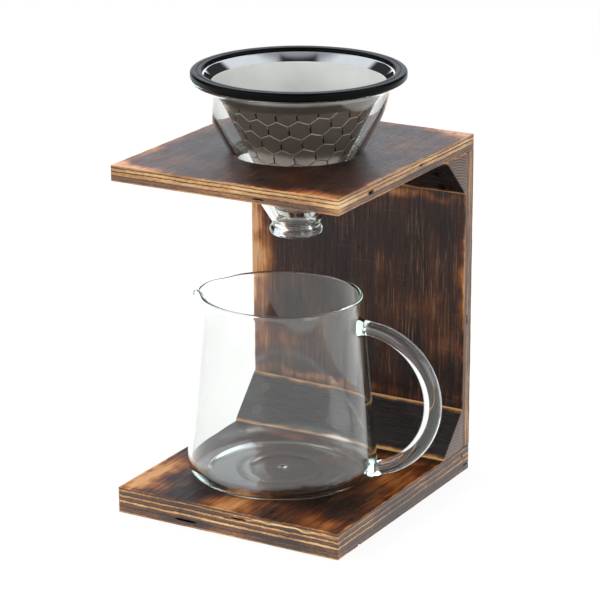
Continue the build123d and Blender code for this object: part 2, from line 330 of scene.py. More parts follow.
def scorched_face(name, grain, layers, box, start, spots, tint=(255, 255, 255), sheen=0.5):
    """Brushed and burnt veneer under a satin varnish, its grain along an axis."""
    f = Finish(name)
    fibre = f.noise(0.04, along(grain, 30.0), 5.0, 0.65)
    streak = f.noise(0.018, along(grain, 20.0), 5.0, 0.62, 31.0)
    figure = f.noise(0.012, along(grain, 7.0), 3.0, 0.55, 71.0)
    cloud = f.noise(0.035, detail=4.0, shift=7.0)
    light = scorch_and_shade(f, start, spots)
    light = f.math("ADD", light, f.around(fibre, 0.72))
    light = f.math("ADD", light, f.around(streak, 0.62))
    light = f.math("ADD", light, f.around(figure, 0.38))
    light = f.math("ADD", light, f.around(cloud, 0.40))
    light = f.math("ADD", light, f.math("MULTIPLY", edge_wear(f, box, layers), 0.34))
    colour = f.ramp(light, CHAR)
    colour = f.mix(1.0, colour, srgb(*tint), "MULTIPLY")
    # Pale fibres that the wire brush laid bare, in patches, and fine scratches across them
    bare = f.span(f.noise(0.05, along(grain, 36.0), 3.0, 0.6, 43.0), 0.56, 0.68)
    bare = f.math("MULTIPLY", bare, f.span(cloud, 0.40, 0.60, 0.1, 0.55))
    colour = f.mix(bare, colour, srgb(158, 118, 86))
    across = next(axis for axis in range(3) if axis not in (grain, layers))
    scratch = f.span(f.noise(0.03, along(across, 34.0), 2.0, 0.5, 53.0), 0.63, 0.72, 0.0, 0.09)
    colour = f.mix(scratch, colour, srgb(150, 128, 116))
    rough = f.math("ADD", VARNISH_ROUGH, f.around(fibre, 0.34))
    rough = f.math("SUBTRACT", rough, f.around(f.noise(0.15, shift=90.0), 0.20))
    height = f.math("ADD", f.math("MULTIPLY", fibre, 0.9), f.math("MULTIPLY", streak, 0.9))
    pores = f.span(f.noise(0.25, along(grain, 6.0), 3.0, 0.6, 12.0), 0.34, 0.44)
    height = f.math("ADD", height, f.math("MULTIPLY", pores, 0.35))
    height = f.math("ADD", height, f.math("MULTIPLY", scratch, 0.8))
    shader = f.principled(
        Base_Color=colour, Roughness=rough, Normal=f.bump(height, 0.34), Specular_IOR_Level=sheen
    )
    return f.done(shader)


# Plies from the underside up, as (share of the thickness where it ends, light or dark)
THIN_PLIES = (
    (0.09, 0.62), (0.14, 0.14), (0.34, 0.40), (0.39, 0.10), (0.60, 0.74), (0.66, 0.12),
    (0.82, 0.80), (0.88, 0.06), (1.00, 0.60),
)
THICK_PLIES = (
    (0.06, 0.66), (0.10, 0.14), (0.22, 0.36), (0.27, 0.06), (0.41, 0.26), (0.49, 0.84), (0.53, 0.10),
    (0.64, 0.34), (0.70, 0.80), (0.74, 0.12), (0.86, 0.30), (0.91, 0.72), (1.00, 0.26),
)
PLY_COLOURS = [
    (0.00, (16, 10, 9)),
    (0.25, (52, 31, 20)),
    (0.50, (116, 74, 42)),
    (0.75, (186, 138, 80)),
    (1.00, (226, 192, 140)),
]


def ply_edge(name, axis, low, high, plies, start, spots):
    """Sawn edge of plywood: light and dark plies, scorched unevenly with some spots of painted shade, and with
    painted shade in its pits.
    """
    f = Finish(name)
    parts = f.add("ShaderNodeSeparateXYZ", {0: f.mm}).outputs
    across = f.math("DIVIDE", f.math("SUBTRACT", parts[axis], low), high - low)
    wobble = f.noise(0.03, detail=3.0, shift=3.0)
    across = f.math("ADD", across, f.around(wobble, 0.13))
    fray = f.noise(0.45, along(axis, 0.5, 2.0), 3.0, 0.65, 17.0)
    across = f.math("ADD", across, f.around(fray, 0.10))
    stops = []
    begin = 0.0
    for end, light in plies:
        stops += [(begin + 0.008, light), (end - 0.008, light)]
        begin = end
    node = f.add("ShaderNodeValToRGB", {"Fac": across})
    elements = node.color_ramp.elements
    while len(elements) < len(stops):
        elements.new(1.0)
    for element, (place, light) in zip(elements, stops):
        element.position = place
        element.color = (light, light, light, 1)
    ply = f.add("ShaderNodeSeparateColor", {0: node.outputs["Color"]}).outputs[0]
    streak = f.noise(0.035, along(axis, 1.0, 18.0), 5.0, 0.65, 5.0)
    speck = f.noise(0.8, along(axis, 0.5, 1.6), 4.0, 0.65, 9.0)
    burn = f.noise(0.03, along(axis, 1.0, 3.0), 4.0, 0.6, 63.0)
    light = f.math("ADD", f.around(ply, 0.80), scorch_and_shade(f, start, spots, 3.0))
    light = f.math("ADD", light, f.around(streak, 0.70))
    light = f.math("ADD", light, f.around(speck, 0.55))
    light = f.math("ADD", light, f.around(burn, 0.90))
    colour = f.ramp(light, PLY_COLOURS)
    pit = f.add("ShaderNodeAttribute", attribute_name="pit").outputs["Fac"]
    # Pits are painted near black, the more so the deeper they are: painted shade
    colour = f.mix(pit, colour, srgb(8, 6, 6))
    height = f.math("ADD", f.math("MULTIPLY", ply, 0.5), f.math("MULTIPLY", streak, 0.8))
    height = f.math("ADD", height, f.math("MULTIPLY", speck, 0.5))
    rough = f.math("ADD", 0.42, f.around(speck, 0.4))
    shader = f.principled(
        Base_Color=colour, Roughness=rough, Normal=f.bump(height, 0.22), Specular_IOR_Level=0.5
    )
    return f.done(shader)


NEAR_EDGE = (0.0, 0.1, 0.22, 0.4, 0.65, 1.0, 1.6, 2.6)


def graded(low, high, step, extra=()):
    """Places from low to high: close together near the ends, and at most step apart between."""
    near = [n for n in NEAR_EDGE if n < (high - low) / 2 - step / 2]
    start, end = low + near[-1], high - near[-1]
    middle = np.linspace(start, end, max(1, ceil((end - start) / step)) + 1)
    places = [low + n for n in near[:-1]] + list(middle) + [high - n for n in near[:-1]]
    return sorted(set(np.round(places + list(extra), 3)))


def box_shell(xs, ys, zs):
    """Points and quads of a box's surface on a lattice, sharing the points along its edges."""
    sizes = (len(xs), len(ys), len(zs))
    index, points, faces = {}, [], []

    def at(place):
        if place not in index:
            index[place] = len(points)
            points.append((xs[place[0]], ys[place[1]], zs[place[2]]))
        return index[place]

    for axis in range(3):
        u, v = (axis + 1) % 3, (axis + 2) % 3
        for side in (0, sizes[axis] - 1):
            for i in range(sizes[u] - 1):
                for j in range(sizes[v] - 1):
                    corners = []
                    for di, dj in ((0, 0), (1, 0), (1, 1), (0, 1)):
                        place = [0, 0, 0]
                        place[axis], place[u], place[v] = side, i + di, j + dj
                        corners.append(at(tuple(place)))
                    faces.append(corners if side else corners[::-1])
    return points, faces


def flow(point, scale, seed):
    """Smooth noise of about -1 to 1, with features of scale millimetres."""
    return noise.noise(Vector(point) / scale + Vector((seed, seed * 1.7, seed * 0.3)))


def board(name, layers, plies, pits, materials, seed, step=2.4):
    """A plywood board: worn edges, plies standing in relief, and pits in its edges.

    layers is the axis across the plies. A pit is (centre, reach), its reach along the face's
    inward axis being its depth. materials are those of the faces and of the sawn edges.
    """
    low, high = node_box(name)
    edges = [[], [], []]
    for centre, reach in pits:
        for axis in range(3):
            if axis == layers or low[axis] + 4 < centre[axis] < high[axis] - 4:
                edges[axis] += list(np.linspace(centre[axis] - reach[axis], centre[axis] + reach[axis], 7))
    steps = [0.45 if axis == layers else step for axis in range(3)]
    lattice = []
    for axis in range(3):
        inside = [e for e in edges[axis] if low[axis] + 0.3 < e < high[axis] - 0.3]
        lattice.append(graded(low[axis], high[axis], steps[axis], inside))
    points, faces = box_shell(*lattice)
    ends = [0.0] + [end for end, light in plies]
    thickness = high[layers] - low[layers]
    shaped, pit_shade = [], []
    for point in points:
        p = np.array(point)
        ease = 0.42 + 0.28 * flow(p, 9.0, seed) + 0.16 * flow(p, 2.5, seed + 5)
        ease = max(ease, 0.12)
        core = np.clip(p, low + ease, high - ease)
        out = p - core
        reach = np.linalg.norm(out)
        normal = out / reach
        q = core + normal * ease
        on_edge = 1 - abs(normal[layers])
        # Dark plies burn back further than light ones
        share = (p[layers] - low[layers]) / thickness + 0.02 * flow(p, 22.0, seed + 9)
        light = next((light for end, light in plies if share <= end), plies[-1][1])
        sunk = on_edge * (0.16 * (1 - light) + 0.07 * (1 + flow(p * along(layers, 1.0, 6.0), 5.0, seed + 3)))
        sunk += 0.05 * (1 + flow(p, 30.0, seed + 2)) + 0.02 * (1 + flow(p, 4.0, seed + 4))
        depth = 0.0
        for centre, reach in pits:
            away = np.linalg.norm((p - np.array(centre)) / np.array(reach))
            if away < 1:
                depth = max(depth, sqrt(1 - away * away) * max(abs(normal * np.array(reach))))
        shaped.append(q - normal * (sunk + depth))
        # Each point's pit depth, kept as how dark its edge is painted: painted shade in the pits
        pit_shade.append(smooth(depth / 0.6))
    slots = []
    for face in faces:
        heights = {points[v][layers] for v in face}
        slots.append(0 if heights <= {lattice[layers][0]} or heights <= {lattice[layers][-1]} else 1)
    piece = make_piece(
        name + "_wood", "stand", shaped, faces, materials, (name,), slots, 40
    )
    attribute = piece.data.attributes.new("pit", "FLOAT", "POINT")
    attribute.data.foreach_set("value", pit_shade)
    return piece


BASE_LOW, BASE_HIGH = node_box("base_board")
BACK_LOW, BACK_HIGH = node_box("back_board")
TOP_LOW, TOP_HIGH = node_box("top_board")

BASE_SPOTS = [
    ((-2, -70, 15), (28, 20, 30), 0.60),
    ((18, -60, 15), (46, 14, 30), 0.26),
    ((-64, -46, 15), (14, 40, 30), 0.90),
    ((-52, -30, 15), (12, 20, 30), 0.30),
    ((-58, -68, 15), (24, 16, 30), 0.62),
    ((56, -72, 15), (34, 22, 30), 0.42),
    ((66, -30, 15), (9, 40, 30), 0.30),
    ((58, 8, 15), (22, 44, 30), 0.46),
    ((40, 36, 15), (44, 9, 30), 0.46),
    ((-30, 36, 15), (40, 12, 30), 0.44),
    ((38, -38, 15), (22, 16, 30), -0.24),
]
TOP_SPOTS = [
    ((-70, 40, 200), (26, 70, 40), 0.34),
    ((-72, -30, 200), (16, 60, 40), 0.44),
    ((-60, -76, 200), (34, 14, 40), 0.74),
    ((68, 78, 200), (36, 24, 40), 0.95),
    ((20, 80, 200), (70, 16, 40), 0.30),
    ((72, -30, 200), (8, 60, 40), 0.26),
    ((60, -76, 200), (40, 12, 40), 0.46),
    ((-40, -50, 200), (40, 20, 40), 0.10),
    ((56, 36, 200), (36, 50, 40), 0.12),
    ((10, -78, 200), (60, 5, 40), 0.26),
    ((-20, -20, 200), (30, 60, 40), 0.05),
]
BACK_SPOTS = [
    ((-72, 69, 130), (22, 40, 120), 0.74),
    ((-50, 69, 62), (34, 7, 16), 0.30),
    ((72, 69, 116), (11, 40, 40), 0.50),
    ((44, 69, 98), (34, 7, 18), 0.16),
    ((58, 69, 76), (20, 7, 18), 0.16),
    ((-10, 69, 160), (50, 7, 16), 0.16),
    ((-20, 69, 42), (90, 7, 7), 0.46),
    ((20, 69, 163), (80, 7, 5), 0.44),
    ((-30, 78, 20), (70, 5, 16), 0.30),
    ((60, 78, 176), (40, 5, 26), 0.24),
]
BASE_EDGE_SPOTS = [
    ((-74, -78, 8), (40, 30, 40), 0.20),
    ((0, -78, 8), (50, 10, 30), 0.14),
    ((34, -78, 12.4), (44, 10, 1.0), 0.75),
    ((70, -78, 8), (30, 4, 40), 0.16),
    # The whole right edge darker: painted shade on the side away from the key light
    ((70, 10, 8), (5, 80, 30), -0.14),
    ((-26, -78, 3), (26, 10, 3), -0.24),
]
TOP_EDGE_SPOTS = [
    ((-10, -78, 196), (60, 30, 20), 0.08),
    ((70, -78, 196), (20, 20, 10), 0.20),
    ((70, 0, 193), (10, 90, 3), -0.20),
    ((40, -78, 194), (40, 20, 6), -0.14),
]

AXIS_Y, AXIS_Z = 1, 2
WARM_TINT = (255, 228, 198)
base_box, back_box, top_box = (BASE_LOW, BASE_HIGH), (BACK_LOW, BACK_HIGH), (TOP_LOW, TOP_HIGH)
base_face = scorched_face("scorched_base", AXIS_Y, AXIS_Z, base_box, 0.22, BASE_SPOTS, WARM_TINT, 0.06)
base_edge = ply_edge("ply_base", AXIS_Z, 0.0, BASE_HIGH[2], THICK_PLIES, 0.42, BASE_EDGE_SPOTS)
top_face = scorched_face("scorched_top", AXIS_Y, AXIS_Z, top_box, 0.30, TOP_SPOTS, (240, 216, 210), 0.15)
top_edge = ply_edge("ply_top", AXIS_Z, TOP_LOW[2], TOP_HIGH[2], THIN_PLIES, 0.50, TOP_EDGE_SPOTS)
back_face = scorched_face("scorched_back", AXIS_Z, AXIS_Y, back_box, 0.29, BACK_SPOTS, (236, 222, 216), 0.22)
back_edge = ply_edge("ply_back", AXIS_Y, BACK_LOW[1], BACK_HIGH[1], THIN_PLIES, 0.36, [])

BASE_PITS = [
    ((BASE_HIGH[0], 69.1, 10.3), (2.2, 1.1, 1.0)),
    ((BASE_HIGH[0], 74.2, 3.9), (2.0, 1.3, 1.0)),
    ((BASE_HIGH[0], -54.0, 0.0), (1.2, 1.4, 1.4)),
    ((-26.0, BASE_LOW[1], 3.6), (7.0, 2.4, 0.7)),
    ((8.0, BASE_LOW[1], 11.4), (5.0, 1.4, 0.5)),
]
TOP_PITS = [
    ((TOP_HIGH[0], -42.5, 195.2), (3.0, 3.2, 0.9)),
    ((TOP_HIGH[0], 14.0, 196.6), (2.0, 2.2, 0.6)),
    ((22.0, TOP_LOW[1], 193.4), (3.6, 1.8, 0.5)),
]
BACK_PITS = [((BACK_HIGH[0], 73.0, 92.0), (1.6, 0.6, 3.0))]

base_board = board("base_board", 2, THICK_PLIES, BASE_PITS, [base_face, base_edge], 1.0)
back_board = board("back_board", 1, THIN_PLIES, BACK_PITS, [back_face, back_edge], 2.0)
top_board = board("top_board", 2, THIN_PLIES, TOP_PITS, [top_face, top_edge], 3.0)

# Round hole in the top board, bevelled at the top to the slope of the glass
SEAT_R = 37.05
SEAT_BEVEL = 1.0
SEAT_SLOPE = radians(28.4)
BORE_R = SEAT_R - SEAT_BEVEL * tan(SEAT_SLOPE)
top_z = TOP_HIGH[2]
hole = [
    (0, TOP_LOW[2] - 3),
    (BORE_R + 1.2, TOP_LOW[2] - 3),
    (BORE_R + 1.2, TOP_LOW[2] - 0.2),
    (BORE_R, TOP_LOW[2] + 0.6),
    (BORE_R, top_z - SEAT_BEVEL),
    (SEAT_R + 2 * tan(SEAT_SLOPE), top_z + 2),
    (0, top_z + 2),
]
combine(top_board, "hole", *lathe(hole, segments=256), "DIFFERENCE", [top_edge], 40)


# Corner blocks: triangular lengths of solid timber

BLOCK_CHAR = [
    (0.00, (12, 9, 9)),
    (0.30, (30, 20, 17)),
    (0.52, (66, 40, 28)),
    (0.72, (128, 82, 48)),
    (1.00, (206, 160, 104)),
]


def block_slope(name, normal_z, start):
    """Burnt slope of a corner block, its grain along X raised by the brush and its arrises scuffed light."""
    f = Finish(name)
    fibre = f.noise(0.045, (1.0, 26.0, 26.0), 6.0, 0.66)
    figure = f.noise(0.018, (1.0, 9.0, 9.0), 4.0, 0.6, 21.0)
    # Distance from the middle of the slope, across it
    parts = f.add("ShaderNodeSeparateXYZ", {0: f.mm}).outputs
    back = BACK_LOW[1]
    level = BASE_HIGH[2] if normal_z > 0 else TOP_LOW[2]
    depth = f.math("SUBTRACT", back, parts[1])
    rise = f.math("MULTIPLY", f.math("SUBTRACT", parts[2], level), normal_z)
    nearest = f.math("MINIMUM", depth, rise)
    shake = f.around(f.noise(0.09, detail=4.0, shift=41.0), 3.0)
    scuff = f.span(f.math("ADD", nearest, shake), 3.6, 0.6, 0.0, 0.80)
    light = f.math("ADD", start, scuff)
    light = f.math("ADD", light, f.around(fibre, 0.9))
    light = f.math("ADD", light, f.around(figure, 0.55))
    colour = f.ramp(light, BLOCK_CHAR)
    height = f.math("ADD", f.math("MULTIPLY", fibre, 0.9), f.math("MULTIPLY", figure, 0.8))
    rough = f.math("ADD", 0.28, f.around(fibre, 0.35))
    shader = f.principled(
        Base_Color=colour, Roughness=rough, Normal=f.bump(height, 0.85), Specular_IOR_Level=0.25
    )
    return f.done(shader)


def block_end(name, centre, light_colour, dark_colour):
    """End grain of a corner block: growth rings about a centre outside the section."""
    f = Finish(name)
    away = f.vector("SUBTRACT", f.mm, centre)
    away = f.vector("MULTIPLY", away, (0.0, 1.0, 1.0))
    radius = f.math("ADD", f.length(away), f.around(f.noise(0.12, detail=3.0), 2.4))
    ring = f.math("SINE", f.math("MULTIPLY", radius, 4.2))
    ring = f.span(ring, -0.6, 0.9)
    speck = f.noise(1.4, detail=3.0, shift=8.0)
    share = f.math("ADD", f.math("MULTIPLY", ring, 0.7), f.around(speck, 0.7))
    colour = f.mix(f.math("ADD", share, 0.0, True), srgb(*dark_colour), srgb(*light_colour))
    height = f.math("ADD", ring, f.math("MULTIPLY", speck, 0.4))
    rough = f.math("ADD", 0.5, f.around(speck, 0.3))
    shader = f.principled(Base_Color=colour, Roughness=rough, Normal=f.bump(height, 0.18))
    return f.done(shader)


SCREW_X = 58.0
LOWER_SCREWS_ALONG = (10.0, 25.3)
UPPER_SCREWS_ALONG = (15.0, 29.0)
HEAD_R = 3.0
HEAD_H = 1.9
SHANK_R = 1.5
SINK_CLEARANCE = 0.18


def corner_block(name, level, away, materials, screws_along, seed):
    """A triangular block against the back board and the board face at level, with screw holes."""
    low, high = node_box(name)
    leg = high[1] - low[1]
    back = high[1]
    corners = [(back - leg, level), (back, level), (back, level + away * leg)]
    if away < 0:
        corners = corners[::-1]
    inradius = leg * (2 - sqrt(2)) / 2
    middle = np.array((back - inradius, level + away * inradius))
    # The section, its corners rounded and its sides divided
    rounding = 0.7
    ring = []
    for n in range(3):
        before, here, after = (np.array(corners[(n + k) % 3]) for k in (-1, 0, 1))
        into = (here - before) / np.linalg.norm(here - before)
        onward = (after - here) / np.linalg.norm(after - here)
        turn = acos(np.clip(into @ onward, -1, 1))
        cut = rounding * tan(turn / 2)
        start, end = here - into * cut, here + onward * cut
        for step in range(5):
            t = step / 4
            bend = (1 - t) ** 2 * start + 2 * t * (1 - t) * here + t * t * end
            ring.append(bend)
        stretch = after - onward * 2 * cut - end
        count = 24
        ring += [end + stretch * k / count for k in range(1, count)]
    ring = np.array(ring)
    points, rows = [], []
    xs = graded(low[0], high[0], 2.0)
    for x in xs:
        gap = min(x - low[0], high[0] - x)
        ease = 0.55
        inset = ease - sqrt(max(ease**2 - max(ease - gap, 0) ** 2, 0))
        section = middle + (ring - middle) * (1 - inset / inradius)
        row = []
        for y, z in section:
            p = Vector((x, y, z))
            sunk = 0.06 * (1 + flow(p, 14.0, seed)) + 0.05 * (1 + flow(Vector((x / 6, y, z)), 1.3, seed + 2))
            inward = Vector((0, middle[0] - y, middle[1] - z)).normalized()
            row.append(len(points))
            points.append(p + inward * sunk)
        rows.append(row)
    faces = []
    slots = []
    size = len(ring)
    for near, far in zip(rows, rows[1:]):
        for k in range(size):
            faces.append([near[k], far[k], far[(k + 1) % size], near[(k + 1) % size]])
            slots.append(0)
    faces += [rows[0], rows[-1][::-1]]
    slots += [1, 1]
    piece = make_piece(name + "_wood", "stand", points, faces, materials, (name,), slots)
    flip_inside_out(piece)
    # Countersunk screw holes square to the slope
    for side in (-1, 1):
        for distance in screws_along:
            rise = distance / sqrt(2)
            seat = Vector((side * SCREW_X, back - leg + rise, level + away * rise))
            outline = [
                (0, -19.0),
                (SHANK_R + 0.1, -19.0),
                (SHANK_R + 0.1, -HEAD_H - SINK_CLEARANCE),
                (HEAD_R + SINK_CLEARANCE, 0.0),
                (HEAD_R + SINK_CLEARANCE + 0.5, 0.5),
                (0, 0.5),
            ]
            hole_points, hole_faces = lathe(outline, segments=48)
            turn = Vector((0, 0, 1)).rotation_difference(Vector((0, -1, away))).to_matrix()
            hole_points = [seat + turn @ Vector(p) for p in hole_points]
            combine(piece, "screw_hole", hole_points, hole_faces, "DIFFERENCE", [materials[0]])
    return piece


def flip_inside_out(piece):
    """Turns every face outwards."""
    mesh = bmesh.new()
    mesh.from_mesh(piece.data)
    bmesh.ops.recalc_face_normals(mesh, faces=mesh.faces)
    mesh.to_mesh(piece.data)
    mesh.free()


lower_slope = block_slope("burnt_lower_block", 1, 0.16)
lower_end = block_end("lower_block_end", (0, 40, -10), (126, 108, 96), (84, 68, 58))
upper_slope = block_slope("burnt_upper_block", -1, 0.10)
upper_end = block_end("upper_block_end", (0, 52, 150), (128, 96, 76), (44, 28, 22))
corner_block("lower_corner_block", BASE_HIGH[2], 1, [lower_slope, lower_end], LOWER_SCREWS_ALONG, 4.0)
corner_block("upper_corner_block", TOP_LOW[2], -1, [upper_slope, upper_end], UPPER_SCREWS_ALONG, 5.0)


# --- Metal and rubber ----------------------------------------------------------------------------


def steel(name, colour, rough, smudge, grain_stretch=None, grain=0.0, metallic=1.0):
    """Stainless steel with faint smudges, and a fine grain if it isn't polished."""
    f = Finish(name)
    cloud = f.noise(0.12, detail=4.0, shift=2.0)
    tone = f.mix(f.around(cloud, 1.0, 0.0), srgb(*[c * 0.93 for c in colour]), srgb(*colour))
    roughness = f.math("ADD", rough, f.around(cloud, smudge))
    height = f.noise(0.05, detail=2.0, shift=14.0)
    normal = f.bump(height, 0.06)
    if grain_stretch:
        line = f.noise(1.0, grain_stretch, 4.0, 0.6, 4.0)
        roughness = f.math("ADD", roughness, f.around(line, grain))
        normal = f.bump(line, 0.02, normal)
    shader = f.principled(Base_Color=tone, Metallic=metallic, Roughness=roughness, Normal=normal)
    return f.done(shader)


def skirt_steel():
    """Outside of the collar: satin, light near the ring and brown lower down to the cone."""
    f = Finish("filter_skirt_steel")
    parts = f.add("ShaderNodeSeparateXYZ", {0: f.mm}).outputs
    cloud = f.noise(0.12, detail=4.0, shift=2.0)
    level = f.math("ADD", parts[2], f.around(cloud, 1.2))
    share = f.span(level, CONE_HIGH[2] + 2.6, CONE_HIGH[2] + 4.4)
    colour = f.mix(share, srgb(120, 110, 104), srgb(228, 224, 218))
    rough = f.math("ADD", 0.32, f.around(cloud, 0.12))
    line = f.noise(1.0, (3, 3, 14), 4.0, 0.6, 4.0)
    shader = f.principled(Base_Color=colour, Metallic=0.65, Roughness=rough, Normal=f.bump(line, 0.02))
    return f.done(shader)


def woven_mesh():
    """Fine woven steel cloth, pale and matt, with its wires as a tiny weave."""
    f = Finish("filter_mesh_cloth")
    parts = f.add("ShaderNodeSeparateXYZ", {0: f.mm}).outputs
    turn = f.math("ARCTAN2", f.math("SUBTRACT", parts[0], FILTER_X), parts[1])
    warp = f.math("SINE", f.math("MULTIPLY", turn, 420.0))
    weft = f.math("SINE", f.math("MULTIPLY", parts[2], 12.0))
    weave = f.math("MULTIPLY", warp, weft)
    cloud = f.noise(0.06, detail=3.0, shift=6.0)
    share = f.math("ADD", f.span(weave, -1.0, 1.0, 0.0, 0.3), f.around(cloud, 0.5), True)
    colour = f.mix(share, srgb(205, 206, 201), srgb(170, 170, 165))
    rough = f.math("ADD", 0.66, f.around(cloud, 0.15))
    shader = f.principled(Base_Color=colour, Metallic=0.40, Roughness=rough, Normal=f.bump(weave, 0.03))
    return f.done(shader)


def rubber():
    """Satin black silicone with dust and a fine moulded grain."""
    f = Finish("black_silicone_satin")
    grain = f.noise(2.2, detail=3.0)
    cloud = f.noise(0.10, detail=4.0, shift=3.0)
    dust = f.span(f.noise(1.6, detail=2.0, shift=33.0), 0.70, 0.78, 0.0, 0.25)
    colour = f.mix(dust, srgb(3, 3, 4), srgb(48, 46, 46))
    rough = f.math("ADD", 0.30, f.around(cloud, 0.14))
    shader = f.principled(
        Base_Color=colour, Roughness=rough, Normal=f.bump(grain, 0.03), Specular_IOR_Level=0.05
    )
    return f.done(shader)


FILTER_X = (node_box("filter_outer_cone")[0][0] + node_box("filter_outer_cone")[1][0]) / 2
FILTER_CENTRE = (FILTER_X, 0.0)
CONE_LOW, CONE_HIGH = node_box("filter_outer_cone")
CONE_TOP_R = CONE_HIGH[1]
CONE_ANGLE = radians(26.1)
APEX_Z = CONE_HIGH[2] - CONE_TOP_R / tan(CONE_ANGLE)
SHEET = 0.4

screw_metal = steel("screw_metal", (96, 84, 72), 0.26, 0.20, (9, 9, 9), 0.2)
mirror = steel("collar_mirror", (226, 226, 226), 0.03, 0.03)
cone_metal = steel("filter_cone_steel", (160, 146, 138), 0.20, 0.08, (3, 3, 14), 0.06, 0.62)
# Two copies of the groove steel: a dark one for painted shade on the groove sides that face down the cone, and a
# light one for painted highlight on those that face up it
painted_shade_groove_metal = steel("filter_groove_painted_shade_steel", (34, 29, 27), 0.22, 0.10, metallic=0.5)
painted_highlight_groove_metal = steel("filter_groove_painted_highlight_steel", (164, 155, 148), 0.30, 0.10, metallic=0.5)
skirt_metal = skirt_steel()
mesh_cloth = woven_mesh()
silicone = rubber()

for node in ("lower_block_screws", "upper_block_screws", "top_board_brads"):
    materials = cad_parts[node].data.materials
    for slot in range(len(materials)):
        materials[slot] = screw_metal


def silicone_ring():
    """Ring with soft edges and a fine moulded groove round its top, gripping the collar's flange."""
    low, high = node_box("silicone_ring")
    outer, bottom, top = high[1], low[2], high[2]
    inner = outer - 6.7
    soft = 1.5
    groove_r, groove = outer - 3.6, 0.35
    flange_z = node_box("filter_collar")[1][2]
    outline = arc((inner + soft, bottom + soft), soft, 180, 270, 8)
    outline += arc((outer - soft, bottom + soft), soft, -90, 0, 10)
    outline += arc((outer - soft, top - soft), soft, 0, 90, 12)
    outline += arc((groove_r, top), groove, 0, -180, 9)
    outline += arc((inner + soft, top - soft), soft, 90, 180, 10)
    outline += [(inner, flange_z + 0.1), (inner + 0.2, flange_z), (inner + 0.2, flange_z - 0.5)]
    points, faces = lathe(outline, FILTER_CENTRE, 256, closed=True)
    return make_piece(
        "silicone_ring_soft", "filter", points, faces, [silicone], ("silicone_ring",)
    )


FLARE_CROWN = 0.2


def filter_collar():
    """Mirror-polished collar: a flange inside the ring, a flare down to the cone, and a short skirt."""
    low, high = node_box("filter_collar")
    sheet = 0.5
    flange_r, flange_z = high[1], high[2]
    top_r, foot_r, foot_z = 51.6, CONE_TOP_R, CONE_HIGH[2]
    skirt_r = foot_r - (foot_z - low[2]) * tan(CONE_ANGLE)
    lean = degrees(atan((flange_z - foot_z) / (top_r - foot_r)))
    bend = 1.2
    bend_at = bend * tan(radians(lean) / 2)
    slope = np.array((cos(radians(lean)), sin(radians(lean))))
    start = np.array((top_r, flange_z)) - slope * bend_at
    centre = (top_r + bend_at, flange_z - bend)
    inside = [(flange_r, flange_z)] + arc(centre, bend, 90, 90 + lean, 8)
    # The flare is crowned by a fraction of a millimetre
    foot = np.array((foot_r, foot_z))
    for share in np.linspace(1, 0, 14)[1:-1]:
        crown = FLARE_CROWN * 4 * share * (1 - share)
        inside.append(tuple(foot + (start - foot) * share + np.array((-slope[1], slope[0])) * crown))
    inside += [(foot_r + 0.05, foot_z + 0.1), (foot_r - 0.1, foot_z - 0.2), (skirt_r, low[2])]
    outside = [(skirt_r + sheet, low[2]), (foot_r + sheet - 0.08, foot_z - 0.2), (foot_r + sheet + 0.1, foot_z)]
    outside += [(start[0] + sheet * 0.9, start[1] - sheet * 0.6), (top_r + bend_at, flange_z - sheet)]
    outside += [(flange_r, flange_z - sheet)]
    outline = [tuple(p) for p in inside + outside][::-1]
    points, faces = lathe(outline, FILTER_CENTRE, 256, closed=True)
    slots = [1 if n // 256 < len(outside) else 0 for n in range(len(faces))]
    piece = make_piece(
        "filter_collar_mirror", "filter", points, faces, [mirror, skirt_metal],
        ("filter_collar",), slots,
    )
    flip_inside_out(piece)
    return piece


def on_cone(flat, lift):
    """A point of the unrolled cone, put back on the cone and lifted off it along its normal."""
    slant, turn = hypot(flat[0], flat[1]), atan2(flat[0], flat[1]) / sin(CONE_ANGLE) + HEX_FRONT
    radius = slant * sin(CONE_ANGLE) + lift * cos(CONE_ANGLE)
    height = APEX_Z + slant * cos(CONE_ANGLE) - lift * sin(CONE_ANGLE)
    return FILTER_X + radius * cos(turn), radius * sin(turn), height


HEX_PITCH = 11.3
HEX_TURN = radians(8.4)
HEX_START = (-23.5 + HEX_PITCH / 2 * cos(radians(8.4)), 93.5 + HEX_PITCH / 2 * sin(radians(8.4)))
HEX_FRONT = radians(-60.13)
GROOVE_WIDTH = 0.84
GROOVE_DEPTH = 0.26


